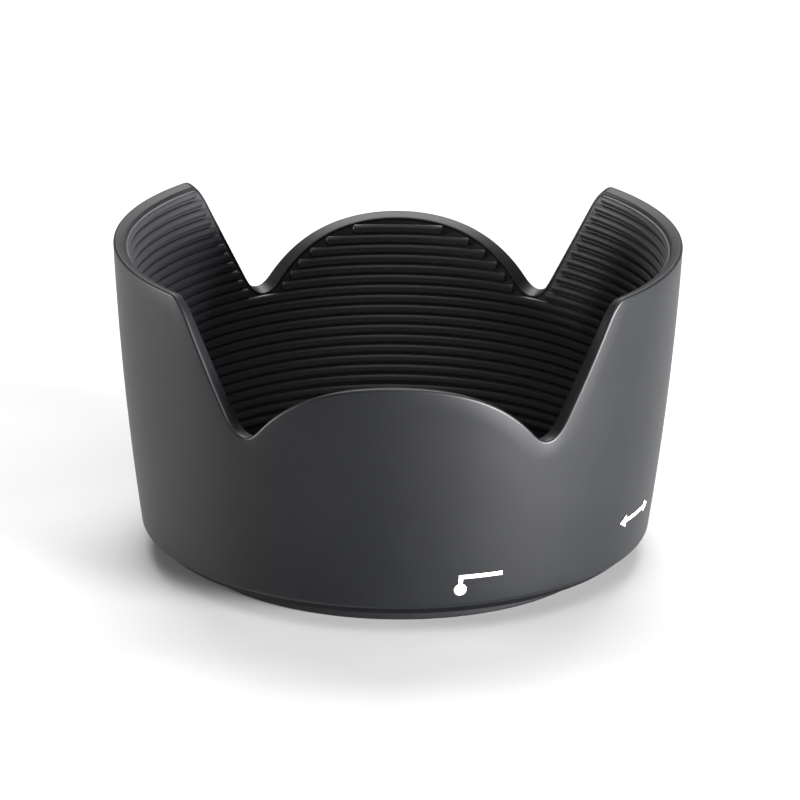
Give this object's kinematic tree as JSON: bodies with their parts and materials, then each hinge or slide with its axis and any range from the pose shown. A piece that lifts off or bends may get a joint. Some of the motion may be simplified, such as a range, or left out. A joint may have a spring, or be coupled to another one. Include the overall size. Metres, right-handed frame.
{
  "type": "lens hood",
  "caption": "Petal lens hood: a flared moulded shell with long and short petals, a ribbed matt liner and a bayonet ring that clicks onto the lens.",
  "frame": {"origin": "centre of the hood's lens end, on the plane that the bayonet ring's lip rests on", "axes": "+Z along the optical axis, from the lens out of the petals; +X through the middle of a long petal; the index mark is on the -Y side"},
  "size_m": [0.096, 0.0948, 0.0551],
  "materials": {
    "shell_plastic": "satin moulded black, very fine spark texture",
    "liner_plastic": "dead matt black, fine ribs against stray light",
    "ring_plastic": "smooth satin black",
    "screw_steel": "turned and nickel plated",
    "pawl_acetal": "natural acetal, smooth",
    "spring_steel": "rolled stainless strip",
    "mark_paint": "white paint filled into a shallow recess"
  },
  "bodies": {
    "hood": {"petal_shell": "shell_plastic", "ribbed_liner": "liner_plastic", "mount_ring": "ring_plastic", "mount_screw_1": "screw_steel", "mount_screw_2": "screw_steel", "mount_screw_3": "screw_steel", "mount_screw_4": "screw_steel", "click_spring_1": "spring_steel", "click_spring_2": "spring_steel", "index_mark": "mark_paint", "turn_mark": "mark_paint"},
    "pawl_1": {"click_pawl_1": "pawl_acetal"},
    "pawl_2": {"click_pawl_2": "pawl_acetal"}
  },
  "joints": [
    {"name": "pawl_1_slide", "type": "slide", "parent": "hood", "child": "pawl_1", "axis": [1, 0, 0], "range_m": [0, 0.0006], "stiffness_N_per_m": 3000, "springref_m": -0.0003, "deforming": ["click_spring_1"]},
    {"name": "pawl_2_slide", "type": "slide", "parent": "hood", "child": "pawl_2", "axis": [-1, 0, 0], "range_m": [0, 0.0006], "stiffness_N_per_m": 3000, "springref_m": -0.0003, "deforming": ["click_spring_2"]}
  ]
}
